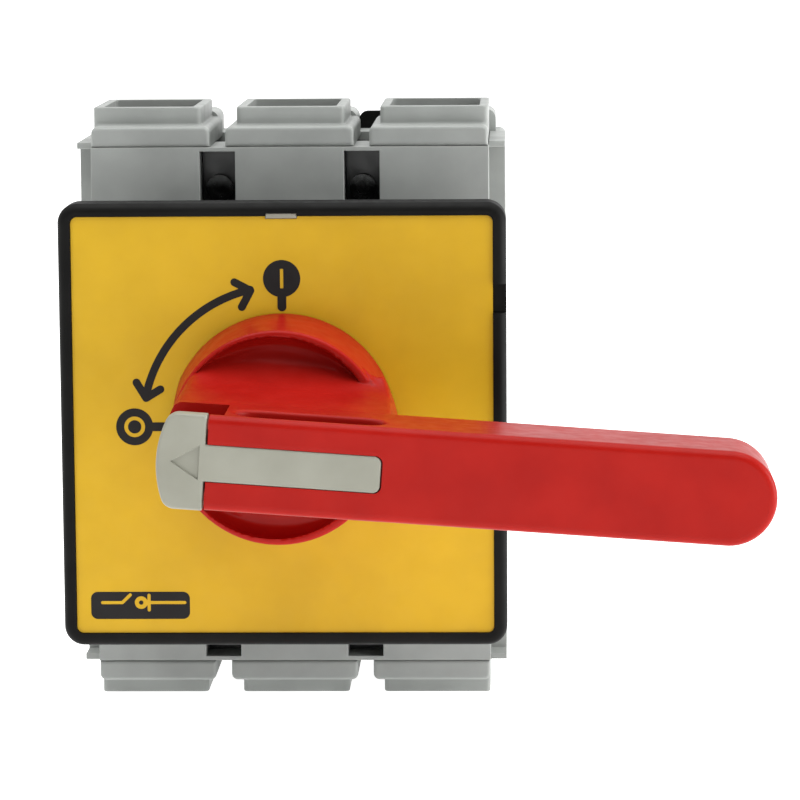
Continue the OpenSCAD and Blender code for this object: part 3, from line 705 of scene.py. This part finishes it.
def turning_arrow(x, y):
    """An arc between the two marks, with a barbed head at each end."""
    along = np.maximum(np.abs(np.arctan2(y, x) - ARROW_MIDDLE) - ARROW_REACH, 0) * ARROW_R
    arrow = np.hypot(np.hypot(x, y) - ARROW_R, along) - ARROW_HALF
    for tip, barbs in BARBS:
        for barb in barbs:
            arrow = np.minimum(arrow, stroke(x, y, tip, barb, ARROW_HALF))
    return arrow


def isolator_symbol(x, y):
    """The general symbol for an isolator, left clear in a dark panel."""
    lines = ring(x, y, (-29.25, SYMBOL_Y), 1.3, 0.45)
    for start, end in (
        ((-37.1, 0), (-33.1, 0)),
        ((-33.1, 0), (-31.45, 1.6)),
        ((-27.65, -1.5), (-27.65, 1.5)),
        ((-27.65, 0), (-20.4, 0)),
    ):
        start, end = (start[0], SYMBOL_Y + start[1]), (end[0], SYMBOL_Y + end[1])
        lines = np.minimum(lines, stroke(x, y, start, end, LINE_HALF))
    return np.maximum(panel(x, y, SYMBOL_AT, *SYMBOL_HALF, 1.4), -lines)


def ink_field(x, y, z):
    marks = np.minimum(turning_arrow(x, y), isolator_symbol(x, y))
    marks = np.minimum(position_marks(x, y), marks)
    return np.maximum(marks, np.abs(z - INK_TOP + INK_T / 2) - INK_T / 2)


ink = solid_piece("legend_print", ink_field, (-39.6, -39.6, 7.4), (4.0, 34, 7.6), 0.11, on_switch, INK)
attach(ink, "switch_body")


# ---- terminal shrouds, in millimetres ----

# Heights over the handle's axis, then places along it, negative inside the cabinet
SHROUD_FOOT = 54.25
BAND_TOP = 58.4
HOOD_TOP = 62.2
SHROUD_BACK = -59.9
HOOD_FRONT = -29
BAND_FRONT = -23
HOOD_HALF = 11.3
# The wire's way in: a duct through the hood, and a wider pocket below it
DUCT_HALF = 9.4
DUCT_FRONT = -30.6
DUCT_BACK = -58.3
POCKET_TOP = 56.3
POCKET_FRONT = -24.6
# Each pole's middle, and its band's two ends
POLES = {
    "left": (-30, (-41.2, -16.6)),
    "middle": (0, (-13.35, 13.35)),
    "right": (30, (16.6, 41.2)),
}


def shroud_field(x, span):
    """One pole's top shroud: a band, and a hood on it that opens into a duct."""
    mid, half = (span[0] + span[1]) / 2, (span[1] - span[0]) / 2

    def field(u, y, z):
        band = round_max(np.abs(u - mid) - half, y - BAND_TOP, 1.3)
        band = np.maximum(band, SHROUD_FOOT - y)
        band = round_max(band, z - BAND_FRONT, 0.7)
        band = np.maximum(band, SHROUD_BACK - z)
        hood = round_max(np.abs(u - x) - HOOD_HALF, z - HOOD_FRONT, 1.0)
        hood = round_max(hood, SHROUD_BACK - z, 1.0)
        hood = round_max(hood, y - HOOD_TOP, 0.45)
        hood = np.maximum(hood, SHROUD_FOOT - y)
        body = round_min(band, hood, 0.4)
        duct = round_max(np.abs(u - x) - DUCT_HALF, np.maximum(z - DUCT_FRONT, DUCT_BACK - z), 0.6)
        body = round_max(body, -duct, 0.35)
        low = (x - DUCT_HALF, 50, HOOD_FRONT - 2)
        high = (x + DUCT_HALF, POCKET_TOP, POCKET_FRONT)
        return np.maximum(body, -box_field(u, y, z, low, high))

    return field


def add_shrouds():
    """Top shrouds from their fields, and the bottom ones as their mirror images."""
    for pole, (x, span) in POLES.items():
        low, high = (span[0], SHROUD_FOOT, SHROUD_BACK), (span[1], HOOD_TOP, BAND_FRONT)
        at, faces = solve_mesh(shroud_field(x, span), low, high, 0.35)
        for side, sign in (("top", 1), ("bottom", -1)):
            node = f"{side}_shroud_{pole}"
            points = on_switch(at * (1, sign, 1))
            obj = smooth_object(node + "_cover", points, faces[:, ::sign], GREY)
            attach(obj, "switch_body")
            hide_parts(node)


add_shrouds()


# ---- the CAD nodes ----

# Fillet radius in millimetres of the nodes whose edges show
FILLETS = {
    "front_cover": 0.3,
    "rear_base": 0.35,
    "contact_housing": 0.2,
    "rail_clip": 0.2,
    "legend_catch": 0.1,
}


def dress_nodes():
    """Give each CAD node the look of its material slot, the contact housing a plastic of its own, and fillet
    the sharp edges of the nodes in FILLETS.
    """
    slots = {s["node"]: s["material_slot"] for s in frame["record"]["subparts"]}
    for node, slot in slots.items():
        obj = bpy.data.objects[node]
        obj.data.materials.clear()
        obj.data.materials.append(HOUSING if node == "contact_housing" else LOOKS[slot])
        if node in FILLETS:
            weld = obj.modifiers.new("weld", "WELD")
            weld.merge_threshold = 0.002 * MM
            flat = obj.modifiers.new("flat", "DECIMATE")
            flat.decimate_type = "DISSOLVE"
            flat.angle_limit = radians(1)
            bevel = obj.modifiers.new("fillet", "BEVEL")
            bevel.width = FILLETS[node] * MM
            bevel.segments = 3
            bevel.limit_method = "ANGLE"
            bevel.angle_limit = radians(40)
            obj.modifiers.new("shade", "WEIGHTED_NORMAL")


dress_nodes()
